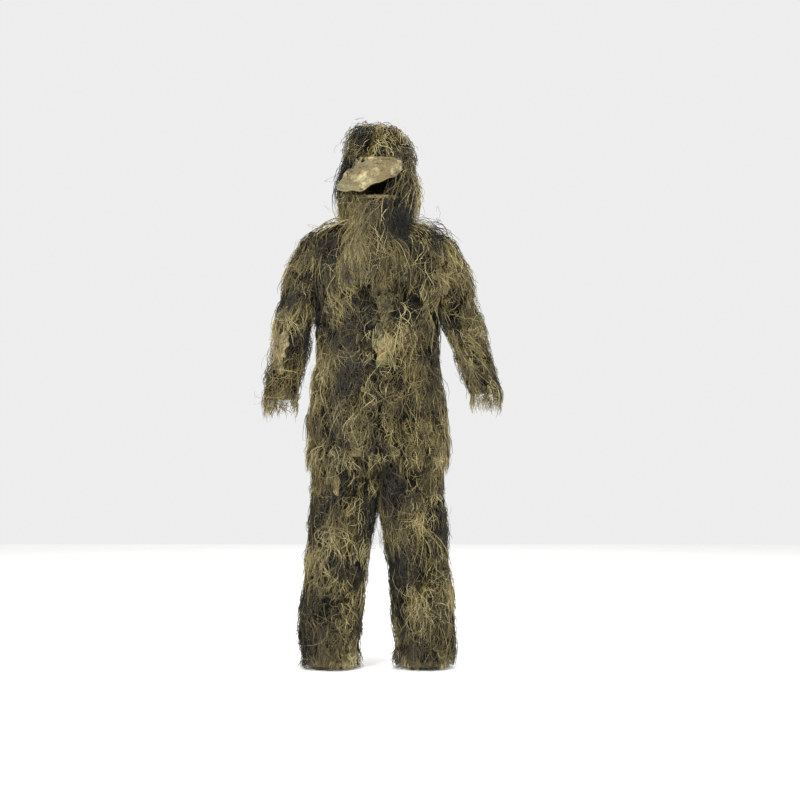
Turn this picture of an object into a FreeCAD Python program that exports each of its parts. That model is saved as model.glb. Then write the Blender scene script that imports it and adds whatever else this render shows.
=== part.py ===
import FreeCAD, Part

import math
import os

# Ghillie suit as it hangs on a standing wearer: hood with visor and face veil, buttoned jacket and
# trousers, each of woven camouflage cloth covered with sewn-on yarn. Millimetres, +Z up, the front
# faces -Y, the origin is on the ground midway between the heels. Left and right are the wearer's.

SHEET = "Sizes"
STRAIGHT_SIDES = True      # sides run straight from station to station, so inner and outer skins never cross

# Every station is a horizontal ellipse of cloth:
# level above ground, centre towards the side, centre towards the back, half width, half depth
TORSO = {
    "hem": (690, 0, 0, 220, 148),
    "skirt": (830, 0, 0, 213, 143),
    "hips": (930, 0, 0, 200, 135),
    "waist": (1010, 0, 0, 188, 128),
    "ribs": (1150, 0, 0, 190, 124),
    "chest": (1290, 0, 2, 222, 120),
    "shoulder": (1375, 0, 4, 225, 102),
    "yoke": (1432, 0, 6, 165, 86),
    "neck": (1470, 0, 8, 88, 74),
}
COLLAR = {
    "collar_foot": (1472, 0, 8, 84, 71),
    "collar_top": (1510, 0, 6, 76, 66),
}
SEAT = {
    "seat_foot": (906, 0, 2, 186, 116),
    "seat_middle": (960, 0, 2, 180, 117),
    "waistband": (1020, 0, 2, 166, 110),
}
HOOD = {
    "nape": (1476, 0, 8, 104, 118),
    "jaw": (1530, 0, 4, 98, 116),
    "temple": (1620, 0, 4, 95, 118),
    "brow": (1680, 0, 6, 94, 114),
    "crown": (1735, 0, 9, 83, 97),
    "top": (1766, 0, 11, 58, 70),
    "button": (1776, 0, 13, 26, 34),
}
SLEEVE_TOP = {
    "elbow": (1130, 281, 6, 50, 62),
    "above_elbow": (1180, 266, 8, 52, 66),
    "biceps": (1290, 238, 8, 52, 73),
    "deltoid": (1395, 215, 5, 33, 60),
    "cap": (1422, 205, 4, 18, 30),
}
LEG_TOP = {
    "groin": (903, 98, 2, 84, 98),
    "below_hem": (684, 105, 4, 92, 103),
    "thigh": (600, 108, 5, 95, 101),
    "knee": (500, 118, 5, 92, 95),
}
LEG_LOW = {
    "calf": (340, 136, 6, 86, 95),
    "shin": (150, 156, 6, 88, 97),
    "ankle": (26, 156, 4, 82, 94),
}
# Lids close the tops of the tubes, one for the cloth and one for the yarn over it.
LIDS = {
    "hood_lid": (1780, 0, 13, 12, 18),
    "hood_yarn_lid": (1797, 0, 13, 22, 30),
    "sleeve_lid": (1426, 203, 4, 14, 26),
    "sleeve_yarn_lid": (1440, 203, 4, 6, 18),
}
TROUSER_FRINGE = {"fringe": (1, 156, 4, 72, 85)}
# The right sleeve hangs straighter than the left one.
CUFF = {"left": ("left_cuff", (905, 360, -18, 38, 46)), "right": ("right_cuff", (885, 322, -14, 40, 48))}
CUFF_TIP = {"left": ("left_tip", (846, 368, -26, 30, 40)), "right": ("right_tip", (812, 330, -22, 32, 42))}

DRIVING = {
    "cloth": 3,            # cloth wall with its seams and backing net
    "net": 2,              # open net that carries the veil's yarn
    "yarn": 20,            # pile height of the sewn-on yarn
    "inseam_yarn": 11,     # the same pile, pressed flat between the legs
    "drape": 22,           # long yarn of cape and veil lying over the jacket's own yarn
    "slack": 0.4,          # air between one layer and the next
    "opening": 1.5,        # half of the gap at a joint's crease
    "seam_x": 192,         # shoulder seam plane
    "armpit": 1165,
    "elbow_axis_y": -38,
    "elbow_bend": 80,
    "hip_axis_y": -60,
    "hip_axis_z": 905,
    "hip_bend": 60,
    "knee_axis_y": 58,
    "knee_bend": 80,
    "front_gap": 1,
    "placket_left": 48,    # fly strip, from its sewn edge on the left to its free edge
    "placket_right": 12,
    "placket_seam": 9,
    "placket_lift": 5,
    "placket_cloth": 3,
    "placket_foot": 990,
    "button_radius": 8,
    "button_low": 1030,
    "button_pitch": 90,
    "face_half": 76,
    "slit_low": 1546,
    "slit_high": 1660,
    "veil_low": 1255,
    "veil_half": 88,
    "cape_low": 1392,
    "cape_half": 188,
    "stud_radius": 6,
    "stud_level": 1538,
    "stud_x": 70,
    "visor_half": 104,
    "visor_reach": 92,
    "visor_cloth": 8,
    "visor_margin": 9,
    "board": 2.4,
    "visor_y": -98,
    "visor_z": 1664,
    "visor_droop": 52,
    "visor_turn": 8,
    "elastic": 2.5,
    "elastic_height": 28,
    "cuff_elastic_height": 16,
    "far": 600,            # larger than the suit from its centre line
}

doc = FreeCAD.newDocument("ghillie_suit")
sheet = doc.addObject("Spreadsheet::Sheet", SHEET)
parts = {}
skins = {}             # skinned solids by stations and offsets, each built once


def fill_sheet():
    """One row per driving dimension: value in column A with its alias, its name in column B."""
    stations = {}
    for family in (TORSO, COLLAR, SEAT, HOOD, SLEEVE_TOP, LEG_TOP, LEG_LOW, LIDS, TROUSER_FRINGE):
        stations.update(family)
    for family in (CUFF, CUFF_TIP):
        stations.update(dict(family.values()))
    cells = dict(DRIVING)
    for name, values in stations.items():
        for what, value in zip(("level", "out", "back", "wide", "deep"), values):
            cells[f"{name}_{what}"] = value
    for row, (alias, value) in enumerate(cells.items(), start=1):
        sheet.set(f"A{row}", str(value))
        sheet.setAlias(f"A{row}", alias)
        sheet.set(f"B{row}", alias)
    doc.recompute()


def size(text):
    """Turn bare alias words into references to the sheet."""
    words = text.replace("(", " ( ").replace(")", " ) ").split()
    return " ".join(f"{SHEET}.{word}" if word[0].isalpha() else word for word in words)


def bind(thing, **sizes):
    """Bind properties, written with _ for the dots in Placement.Base.x, to expressions."""
    paths = {"x": "Placement.Base.x", "y": "Placement.Base.y", "z": "Placement.Base.z",
             "turn": "Placement.Rotation.Angle"}
    for name, text in sizes.items():
        thing.setExpression(paths.get(name, name), size(text))


def station(name, side, grow, shift, upright):
    """Ellipse of one station, grown by a layer's offset. Upright ones are deeper than they are wide."""
    ring = doc.addObject("Part::Ellipse", f"ring_{name}")
    long_half, short_half = ("deep", "wide") if upright else ("wide", "deep")
    bind(ring, MajorRadius=f"{name}_{long_half} + {grow}", MinorRadius=f"{name}_{short_half} + {grow}")
    if upright:
        ring.Placement.Rotation = FreeCAD.Rotation(FreeCAD.Vector(0, 0, 1), 90)
    bind(ring, x=f"{side} * ( {name}_out + {shift} )", y=f"{name}_back", z=f"{name}_level")
    return ring


def body_loft(names, side="1", grow="0", shift="0", upright=False):
    """Solid skinned through the stations in order."""
    key = (tuple(names), side, grow, shift, upright)
    if key not in skins:
        loft = doc.addObject("Part::Loft", "skin")
        loft.Sections = [station(name, side, grow, shift, upright) for name in names]
        loft.Solid = True
        loft.Ruled = STRAIGHT_SIDES
        skins[key] = loft
    return skins[key]


def minus(base, *tools):
    for tool in tools:
        cut = doc.addObject("Part::Cut", "cut")
        cut.Base = base
        cut.Tool = tool
        base = cut
    return base


def common(base, tool):
    both = doc.addObject("Part::Common", "common")
    both.Base = base
    both.Tool = tool
    return both


def joined(*things):
    fuse = doc.addObject("Part::MultiFuse", "fuse")
    fuse.Shapes = list(things)
    return fuse


def block(x=("0 - far", "far"), y=("0 - far", "far"), z=("0 - far", "4 * far")):
    """Box between two expressions along each axis."""
    box = doc.addObject("Part::Box", "block")
    bind(box, x=x[0], y=y[0], z=z[0])
    bind(box, Length=f"( {x[1]} ) - ( {x[0]} )", Width=f"( {y[1]} ) - ( {y[0]} )",
         Height=f"( {z[1]} ) - ( {z[0]} )")
    return box


def crease(axis_y, axis_z, angle):
    """Room for the fold at a joint: a quarter space turned about a cross-wise axis by the angle."""
    box = doc.addObject("Part::Box", "crease")
    box.Placement = FreeCAD.Placement(FreeCAD.Vector(), FreeCAD.Rotation(FreeCAD.Vector(1, 0, 0), 10))
    bind(box, Length="2 * far", Width="far", Height="far", x="0 - far", y=axis_y, z=axis_z, turn=angle)
    return box


def shell(names, inner, outer, lid=(), **how):
    """Hollow layer of the body between two offsets from the cloth's outer face, closed by the lid if any."""
    return minus(body_loft([*names, *lid], grow=outer, **how), body_loft(names, grow=inner, **how))


def cloth(names, **how):
    return shell(names, "0 - cloth", "0", **how)


def pile(names, outer_shift="0", outer="yarn", lid=(), under=(), **how):
    """Yarn pile on the cloth; the shift thins it on the inside of a leg."""
    outside = body_loft([*names, *lid], grow=outer, shift=outer_shift, **how)
    return minus(outside, body_loft([*names, *under], grow="slack", **how))


def keep(label, thing):
    thing.Label = label
    parts[label] = thing


def make_jacket():
    front = ("0 - far", "0 - opening")
    back = ("opening", "far")
    above = ("hip_axis_z + opening", "4 * far")
    below = ("0 - far", "hip_axis_z - opening")
    crease_above = ("hip_axis_y", "hip_axis_z", "180 - ( hip_bend / 2 + 2 )")
    crease_below = ("hip_axis_y", "hip_axis_z", "90 + ( hip_bend / 2 + 2 )")

    armholes = [block(x=("seam_x", "far"), z=("armpit", "4 * far")),
                block(x=("0 - far", "0 - seam_x"), z=("armpit", "4 * far"))]
    torso_cloth = minus(cloth(TORSO), *armholes)
    torso_yarn = minus(pile(TORSO), *armholes)
    keep("jacket_back", common(torso_cloth, block(y=back)))
    keep("jacket_back_yarn", common(torso_yarn, block(y=back)))
    halves = {"left": (("front_gap", "far"), ("placket_left + 2", "far")),
              "right": (("0 - far", "0 - front_gap"), ("0 - far", "0 - placket_right - 2"))}
    for side, (cloth_x, yarn_x) in halves.items():
        for layer, across, name in ((torso_cloth, cloth_x, ""), (torso_yarn, yarn_x, "_yarn")):
            panel = minus(block(x=across, y=front, z=above), crease(*crease_above))
            keep(f"jacket_front{name}_{side}", common(layer, panel))
            flap = minus(block(x=cloth_x, y=front, z=below), crease(*crease_below))
            keep(f"hem_flap{name}_{side}", common(layer, flap))
    keep("jacket_collar", cloth(COLLAR))


def make_placket():
    """Fly strip sewn along its left edge, standing off the front to hide the buttons under it."""
    high = ("placket_foot", "neck_level - 25")
    free = ("0 - placket_right", "placket_left")
    outside = shell(TORSO, "slack", "placket_lift + placket_cloth")
    strip = common(outside, block(x=free, y=("0 - far", "0"), z=high))
    under = ("0 - placket_right - 1", "placket_left - placket_seam")
    room = common(body_loft(TORSO, grow="placket_lift"), block(x=under, y=("0 - far", "0")))
    keep("placket_strip", minus(strip, room))
    layer = shell(TORSO, "2 * slack", "placket_lift - 2 * slack")
    shanks = []
    for row in range(5):
        disc = doc.addObject("Part::Cylinder", "button_disc")
        disc.Placement.Rotation = FreeCAD.Rotation(FreeCAD.Vector(1, 0, 0), 90)
        bind(disc, Radius="button_radius", Height="far", x="button_radius + 6",
             z=f"button_low + {row} * button_pitch")
        shanks.append(disc)
    keep("placket_buttons", common(layer, joined(*shanks)))


def make_trousers():
    seat = cloth(SEAT)
    keep("trouser_seat", minus(seat, crease("hip_axis_y", "hip_axis_z", "180 - ( hip_bend / 2 + 2 )")))
    ring = shell(SEAT, "0 - cloth - slack - elastic", "0 - cloth - slack")
    band = ("waistband_level - elastic_height", "waistband_level - 2")
    keep("waist_elastic", common(ring, block(z=band)))
    top = list(LEG_TOP)
    low = ["knee"] + list(LEG_LOW)
    above_knee = block(z=("knee_level + opening", "4 * far"))
    below_knee = block(z=("0 - far", "knee_level - opening"))
    for side, sign in (("left", "1"), ("right", "( 0 - 1 )")):
        how = {"side": sign, "upright": True}
        thin = {"outer_shift": "( yarn - inseam_yarn ) / 2", "outer": "( yarn + inseam_yarn ) / 2"}
        hip = ("hip_axis_y", "hip_axis_z", "90 + ( hip_bend / 2 + 2 )")
        over = ("knee_axis_y", "knee_level", "270 + ( knee_bend / 2 + 2 )")
        under = ("knee_axis_y", "knee_level", "0 - ( knee_bend / 2 + 2 )")
        leg = common(cloth(top, **how), above_knee)
        keep(f"thigh_{side}", minus(leg, crease(*hip), crease(*over)))
        below = block(z=("knee_level + opening", "below_hem_level"))
        keep(f"thigh_yarn_{side}", minus(common(pile(top, **thin, **how), below), crease(*over)))
        shin = common(cloth(low, **how), below_knee)
        keep(f"shin_{side}", minus(shin, crease(*under)))
        fringe = minus(common(pile(low + ["fringe"], **thin, **how), below_knee), crease(*under))
        keep(f"shin_yarn_{side}", fringe)
        ring = shell(low, "0 - cloth - slack - elastic", "0 - cloth - slack", **how)
        cuff = ("ankle_level + 2", "ankle_level + cuff_elastic_height")
        keep(f"ankle_elastic_{side}", common(ring, block(z=cuff)))


def make_sleeves():
    beside = common(body_loft(TORSO, grow="yarn + slack"), block(z=("0 - far", "armpit + 1")))
    arms = {"left": ("1", ("seam_x + 3", "far")), "right": ("( 0 - 1 )", ("0 - far", "0 - seam_x - 3"))}
    for side, (sign, outside) in arms.items():
        how = {"side": sign, "upright": True}
        top = list(SLEEVE_TOP)
        low = ["elbow", CUFF[side][0]]
        tip = low + [CUFF_TIP[side][0]]
        sleeve = cloth(top, lid=["sleeve_lid"], **how)
        sleeve_yarn = pile(top, lid=["sleeve_yarn_lid"], under=["sleeve_lid"], **how)
        upper = block(x=outside, z=("elbow_level + opening", "4 * far"))
        lower = block(z=("0 - far", "elbow_level - opening"))
        over = ("elbow_axis_y", "elbow_level", "180 - ( elbow_bend / 2 + 2 )")
        under = ("elbow_axis_y", "elbow_level", "90 + ( elbow_bend / 2 + 2 )")
        keep(f"upper_sleeve_{side}", minus(common(sleeve, upper), crease(*over)))
        keep(f"upper_sleeve_yarn_{side}", minus(common(sleeve_yarn, upper), crease(*over), beside))
        keep(f"lower_sleeve_{side}", minus(common(cloth(low, **how), lower), crease(*under)))
        keep(f"lower_sleeve_yarn_{side}", minus(common(pile(tip, **how), lower), crease(*under)))
        ring = shell(low, "0 - cloth - slack - elastic", "0 - cloth - slack", **how)
        cuff = (f"{low[1]}_level + 2", f"{low[1]}_level + cuff_elastic_height")
        keep(f"cuff_elastic_{side}", common(ring, block(z=cuff)))


def face(half, low, high):
    return block(x=(f"0 - ( {half} )", half), y=("0 - far", "0"), z=(low, high))


def studs(grow):
    """Press studs at the temples, one each side, as round pegs along Y."""
    pegs = []
    for sign in ("1", "( 0 - 1 )"):
        peg = doc.addObject("Part::Cylinder", "stud_peg")
        peg.Placement.Rotation = FreeCAD.Rotation(FreeCAD.Vector(1, 0, 0), 90)
        bind(peg, Radius=f"stud_radius + {grow}", Height="far", x=f"{sign} * stud_x", z="stud_level")
        pegs.append(peg)
    return joined(*pegs)


def make_hood():
    how = {"upright": True}
    opening = face("face_half + 1", "0 - far", "slit_high")
    grown = (sheet.visor_half + sheet.slack, sheet.visor_reach + sheet.slack)
    visor_room = visor_plate("visor_room", *grown, "visor_cloth + 2 * slack", -sheet.slack)
    keep("hood_crown", minus(cloth(HOOD, lid=["hood_lid"], **how), opening, visor_room))
    crown = minus(pile(HOOD, lid=["hood_yarn_lid"], under=["hood_lid"], **how), opening, visor_room)
    keep("hood_yarn", minus(crown, studs("1")))
    veil = face("face_half", "0 - far", "slit_low")
    keep("face_net", common(shell(HOOD, "0 - net", "0", **how), veil))
    keep("veil_yarn", minus(common(pile(HOOD, **how), veil), studs("1")))
    keep("veil_studs", common(shell(HOOD, "slack", "slack + 4", **how), studs("0")))
    ring = shell(HOOD, "0 - cloth - slack - elastic", "0 - cloth - slack", **how)
    behind = block(y=("20", "far"), z=("temple_level - elastic_height", "temple_level"))
    keep("hood_elastic", common(ring, behind))


def make_drape():
    """Cape yarn on the shoulders and the veil's long tail on the chest: both lie on the jacket."""
    long_yarn = shell(TORSO, "yarn + slack", "yarn + drape")
    high = ("cape_low", "neck_level + 9")
    back = block(x=("0 - cape_half", "cape_half"), y=("opening", "far"), z=high)
    keep("cape_yarn_back", common(long_yarn, back))
    fronts = {"left": ("veil_half + 2", "cape_half"), "right": ("0 - cape_half", "0 - veil_half - 2")}
    for side, across in fronts.items():
        front = block(x=across, y=("0 - far", "0 - opening"), z=high)
        keep(f"cape_yarn_{side}", common(long_yarn, front))
    keep("veil_tail_yarn", common(long_yarn, face("veil_half", "veil_low", "neck_level")))


def visor_outline(body, name, half, reach):
    """Half oval: a straight sewn edge along X, and half of an ellipse that reaches towards -Y."""
    plane = next(f for f in body.Origin.OriginFeatures if f.Role == "XY_Plane")
    sketch = body.newObject("Sketcher::SketchObject", name)
    sketch.AttachmentSupport = [(plane, "")]
    sketch.MapMode = "FlatFace"
    oval = Part.Ellipse(FreeCAD.Vector(0, 0, 0), half, reach)
    sketch.addGeometry(Part.ArcOfEllipse(oval, math.pi, 2 * math.pi))
    sketch.addGeometry(Part.LineSegment(FreeCAD.Vector(-half, 0, 0), FreeCAD.Vector(half, 0, 0)))
    return sketch


def visor_plate(name, half, reach, thick, lift):
    """Flat half-oval pad, lifted within the visor's own frame, then drooped and turned into place."""
    body = doc.addObject("PartDesign::Body", name)
    sketch = visor_outline(body, f"{name}_outline", half, reach)
    pad = body.newObject("PartDesign::Pad", f"{name}_pad")
    pad.Profile = sketch
    pad.setExpression("Length", size(thick))
    sketch.Visibility = False
    turn = FreeCAD.Rotation(FreeCAD.Vector(0, 0, 1), -sheet.visor_turn)
    droop = FreeCAD.Rotation(FreeCAD.Vector(1, 0, 0), sheet.visor_droop)
    attitude = turn.multiply(droop)
    sewn = FreeCAD.Vector(0, sheet.visor_y, sheet.visor_z)
    body.Placement = FreeCAD.Placement(sewn + attitude.multVec(FreeCAD.Vector(0, 0, lift)), attitude)
    return body


def make_visor():
    """Stiff board sewn between two cloths: the cover is a pad with the board's own pocket cut out."""
    cover = visor_plate("visor_pad", sheet.visor_half, sheet.visor_reach, "visor_cloth", 0)
    inner_half = sheet.visor_half - sheet.visor_margin
    inner_reach = sheet.visor_reach - sheet.visor_margin
    lift = (sheet.visor_cloth - sheet.board) / 2
    pocket = visor_plate("visor_pocket", inner_half, inner_reach, "board + slack", lift - sheet.slack / 2)
    keep("visor_cover", minus(cover, pocket))
    board = visor_plate("visor_board", inner_half - 1, inner_reach - 1, "board", lift)
    keep("visor_board", board)


fill_sheet()
make_jacket()
make_placket()
make_trousers()
make_sleeves()
make_hood()
make_visor()
make_drape()
doc.recompute()

bad = [thing.Name for thing in doc.Objects if {"Invalid", "Error"} & set(thing.State)]
if bad:
    raise SystemExit(f"failed objects: {bad}")
os.makedirs("parts", exist_ok=True)
for label, thing in parts.items():
    shape = thing.Shape
    if shape.isNull() or not shape.isValid() or not shape.Solids:
        raise SystemExit(f"{label} has no valid solid")
    print(label, len(shape.Solids), "solid", round(shape.Volume / 1000), "cm3")
    shape.exportStep(f"parts/{label}.step")
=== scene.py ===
"""Ghillie suit: a hood with visor and veil, a jacket and trousers, of camouflage cloth under sewn-on yarn.

Metres, +Z up, the front faces -Y. Left and right are the wearer's. All but the visor are tubes whose section
is an ellipse that changes along the tube, and cloth, yarn mat and loose strands are laid on these tubes.
"""
import math

import bpy
import numpy as np
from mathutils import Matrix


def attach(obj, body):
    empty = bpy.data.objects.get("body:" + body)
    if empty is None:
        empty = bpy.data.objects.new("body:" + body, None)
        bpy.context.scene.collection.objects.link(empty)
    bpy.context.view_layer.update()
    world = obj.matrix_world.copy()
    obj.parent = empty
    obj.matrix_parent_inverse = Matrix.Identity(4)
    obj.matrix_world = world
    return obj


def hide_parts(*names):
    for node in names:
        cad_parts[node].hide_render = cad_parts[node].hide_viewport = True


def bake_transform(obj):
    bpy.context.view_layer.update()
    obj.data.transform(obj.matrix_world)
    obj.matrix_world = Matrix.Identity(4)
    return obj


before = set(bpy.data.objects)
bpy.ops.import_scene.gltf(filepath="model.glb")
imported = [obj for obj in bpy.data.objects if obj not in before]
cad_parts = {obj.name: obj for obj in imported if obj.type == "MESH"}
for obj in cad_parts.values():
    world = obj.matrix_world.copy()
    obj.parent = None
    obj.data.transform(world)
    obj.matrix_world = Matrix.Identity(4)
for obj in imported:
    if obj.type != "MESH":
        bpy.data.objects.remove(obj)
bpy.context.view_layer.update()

MM = 0.001
TAU = 2 * math.pi
FRONT = -math.pi / 2          # angle round a tube; 0 faces away from the suit's middle plane
SIDES = {1: "left", -1: "right"}

# Stations of the cloth in millimetres: level, centre sideways, centre backwards, half width, half depth
TORSO = [(690, 0, 0, 220, 148), (830, 0, 0, 213, 143), (930, 0, 0, 200, 135), (1010, 0, 0, 188, 128),
         (1150, 0, 0, 190, 124), (1290, 0, 2, 222, 120), (1375, 0, 4, 225, 102), (1432, 0, 6, 165, 86),
         (1470, 0, 8, 88, 74)]
HOOD = [(1476, 0, 8, 104, 118), (1530, 0, 4, 98, 116), (1620, 0, 4, 95, 118), (1680, 0, 6, 94, 114),
        (1735, 0, 9, 83, 97), (1766, 0, 11, 58, 70), (1776, 0, 13, 26, 34), (1779, 0, 13, 3, 4)]
VEIL = [(1225, 0, 0, 150, 158), (1290, 0, 0, 150, 152), (1375, 0, 0, 140, 140), (1420, 0, 0, 125, 134),
        (1476, 0, 0, 108, 128), (1552, 0, 0, 100, 119)]
COLLAR = [(1472, 0, 8, 84, 71), (1510, 0, 6, 76, 66)]
SEAT = [(906, 0, 2, 186, 116), (960, 0, 2, 180, 117), (1020, 0, 2, 166, 110)]
SLEEVE_TOP = [(1130, 281, 6, 50, 62), (1180, 266, 8, 52, 66), (1290, 238, 8, 52, 73), (1395, 215, 5, 33, 60),
              (1422, 205, 4, 18, 30), (1426, 203, 4, 6, 12)]
CUFFS = {1: (905, 360, -18, 38, 46), -1: (885, 322, -14, 40, 48)}
LEG = [(26, 156, 4, 82, 94), (150, 156, 6, 88, 97), (340, 136, 6, 86, 95), (500, 118, 5, 92, 95),
       (600, 108, 5, 95, 101), (684, 105, 4, 92, 103), (903, 98, 2, 84, 98)]

FRONT_ENDS = 0.06              # patches of the front reach back to here

# Dyes of the yarn, from the darkest, and patches of the front, two of them painted shade: sideways, level,
# half width, half height, dye
DYES = ["#12110c", "#2a2d28", "#41392a", "#5f5538", "#807348", "#a39563", "#cdbf8e"]
NIGHT, SLATE, BARK, MOSS, OLIVE, KHAKI, STRAW = range(7)
PATCHES = [
    (-0.040, 1.765, 0.025, 0.030, NIGHT), (-0.098, 1.665, 0.042, 0.050, SLATE),
    (0.092, 1.680, 0.040, 0.045, BARK), (0.030, 1.745, 0.045, 0.022, KHAKI),
    (-0.085, 1.735, 0.030, 0.030, OLIVE), (-0.138, 1.560, 0.022, 0.090, MOSS),
    (-0.070, 1.440, 0.040, 0.115, OLIVE + 0.6), (0.000, 1.420, 0.032, 0.130, BARK + 0.2),
    (0.066, 1.510, 0.032, 0.120, NIGHT - 0.6), (0.060, 1.330, 0.036, 0.060, BARK),
    (0.112, 1.550, 0.026, 0.120, OLIVE + 0.5), (-0.135, 1.375, 0.032, 0.038, NIGHT),
    (-0.140, 1.470, 0.030, 0.020, SLATE), (0.175, 1.430, 0.038, 0.035, NIGHT),
    (-0.200, 1.290, 0.026, 0.075, SLATE), (-0.196, 1.210, 0.020, 0.090, NIGHT),
    (-0.260, 1.090, 0.040, 0.042, SLATE - 0.5), (-0.088, 1.060, 0.034, 0.115, SLATE),
    (0.080, 1.210, 0.038, 0.048, NIGHT), (0.172, 1.075, 0.030, 0.080, SLATE),
    (0.230, 1.155, 0.038, 0.028, NIGHT), (0.225, 1.080, 0.034, 0.022, SLATE),
    (0.262, 0.972, 0.024, 0.030, NIGHT), (0.085, 0.895, 0.042, 0.075, BARK + 0.3),
    # The next two narrow near-black patches are painted shade down the gap between the jacket's fronts.
    (0.004, 0.850, 0.012, 0.110, NIGHT), (-0.004, 1.100, 0.008, 0.190, NIGHT),
    (-0.154, 0.815, 0.030, 0.040, BARK), (-0.235, 0.810, 0.018, 0.032, SLATE),
    (-0.110, 0.960, 0.020, 0.060, SLATE), (-0.018, 0.520, 0.038, 0.055, NIGHT),
    (-0.196, 0.525, 0.020, 0.056, SLATE), (-0.212, 0.255, 0.030, 0.060, SLATE),
    (-0.236, 0.078, 0.028, 0.050, NIGHT), (-0.098, 0.352, 0.042, 0.036, SLATE),
    (0.052, 0.320, 0.022, 0.095, NIGHT), (0.202, 0.520, 0.026, 0.080, SLATE),
    (0.130, 0.360, 0.038, 0.046, SLATE), (0.150, 0.075, 0.036, 0.068, BARK),
    (0.250, 0.135, 0.016, 0.050, NIGHT), (-0.060, 0.170, 0.016, 0.060, BARK),
    (0.100, 1.300, 0.045, 0.040, BARK), (-0.290, 1.240, 0.026, 0.060, BARK),
    (0.330, 1.050, 0.026, 0.070, BARK), (0.060, 0.640, 0.050, 0.060, SLATE),
    (0.270, 1.180, 0.040, 0.080, BARK + 0.8), (0.135, 0.650, 0.045, 0.080, BARK + 0.6),
]
# Where the yarn is thin and the cloth shows: sideways, level, half width, half height
BALD = [
    (0.020, 1.12, 0.012, 0.135), (-0.295, 1.170, 0.062, 0.022), (-0.325, 1.050, 0.028, 0.058),
    (0.222, 1.262, 0.034, 0.044), (0.195, 1.355, 0.022, 0.030), (0.338, 1.100, 0.014, 0.020),
    (-0.060, 0.720, 0.030, 0.030), (-0.130, 0.620, 0.024, 0.028), (0.240, 0.960, 0.016, 0.020),
]


def linear(hex_colour):
    """sRGB hex colour to linear RGB with alpha 1."""
    c = np.array([int(hex_colour[i:i + 2], 16) for i in (1, 3, 5)]) / 255
    return (*np.where(c <= 0.04045, c / 12.92, ((c + 0.055) / 1.055) ** 2.4).tolist(), 1.0)


# ---------------------------------------------------------------- camera, light and floor

def set_stage():
    """Camera level with the suit's middle, far enough back to flatten it, under three soft lights."""
    distance, frame_width, sensor = 7.0, 2.648, 36.0
    camera = bpy.data.objects.new("camera", bpy.data.cameras.new("camera"))
    camera.data.sensor_width = sensor
    camera.data.lens = sensor * distance / frame_width
    camera.location = (0.074, -distance, 0.884)
    camera.rotation_euler = (math.pi / 2, 0, 0)
    bpy.context.collection.objects.link(camera)
    bpy.context.scene.camera = camera
    for name, place, turn, width, power in (
            ("key", (-1.8, -3.8, 3.2), (56, 0, -26), 1.6, 235),
            ("fill", (3.0, -3.2, 2.2), (65, 0, 44), 2.6, 110),
            ("back", (0.6, 3.4, 3.6), (-48, 0, -10), 2.4, 120)):
        light = bpy.data.lights.new(name, "AREA")
        light.size = width
        light.energy = power
        lamp = bpy.data.objects.new(name, light)
        lamp.location = place
        lamp.rotation_euler = [math.radians(a) for a in turn]
        bpy.context.collection.objects.link(lamp)
    world = bpy.data.worlds.new("studio")
    world.use_nodes = True
    world.node_tree.nodes["Background"].inputs["Color"].default_value = (1, 1, 1, 1)
    world.node_tree.nodes["Background"].inputs["Strength"].default_value = 0.85
    bpy.context.scene.world = world
    bpy.context.scene.view_settings.view_transform = "Standard"
    reach, level = 6.0, -0.002
    corners = [(-reach, -reach, level), (reach, -reach, level), (reach, reach, level), (-reach, reach, level)]
    quad_mesh("floor", corners, [(0, 1, 2, 3)], floor_paint())


# ---------------------------------------------------------------- materials

def node(material, kind, output=0, settings=None, stops=(), **sockets):
    """Add a shader node and return one of its outputs. A socket, named or numbered as _0, is linked if its
    value is another node's output and set otherwise; stops are a ramp's (position, hex colour) pairs."""
    made = material.node_tree.nodes.new(kind)
    for name, value in (settings or {}).items():
        setattr(made, name, value)
    for name, value in sockets.items():
        key = int(name[1:]) if name[0] == "_" else name.replace("_", " ")
        socket = made.inputs[key]
        if isinstance(value, bpy.types.NodeSocket):
            material.node_tree.links.new(value, socket)
        else:
            socket.default_value = value
    for number, (place, colour) in enumerate(stops):
        if number == len(made.color_ramp.elements):
            made.color_ramp.elements.new(place)
        made.color_ramp.elements[number].position = place
        made.color_ramp.elements[number].color = linear(colour)
    return made.outputs[output]


def paint(name, roughness, **constants):
    """New material with an empty Principled surface; constants are set on its own sockets."""
    material = bpy.data.materials.new(name)
    material.use_nodes = True
    surface = material.node_tree.nodes["Principled BSDF"]
    surface.inputs["Roughness"].default_value = roughness
    for socket, value in constants.items():
        surface.inputs[socket.replace("_", " ")].default_value = value
    return material, surface, material.node_tree.links.new


# Settings of a mix node whose second colour multiplies the first, and of one whose second covers the first
TINT = {"data_type": "RGBA", "blend_type": "MULTIPLY"}
COVER = {"data_type": "RGBA", "blend_type": "MIX"}


def floor_paint():
    """Matt white studio paper, with a faint cloudiness a third of a metre across."""
    material, surface, link = paint("studio_paper", 0.9)
    place = node(material, "ShaderNodeTexCoord", "Object")
    grain = node(material, "ShaderNodeTexNoise", "Fac", Vector=place, Scale=3.0)
    link(node(material, "ShaderNodeValToRGB", stops=[(0.3, "#f4f4f3"), (0.7, "#f7f7f6")], Fac=grain),
         surface.inputs["Base Color"])
    return material


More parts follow.
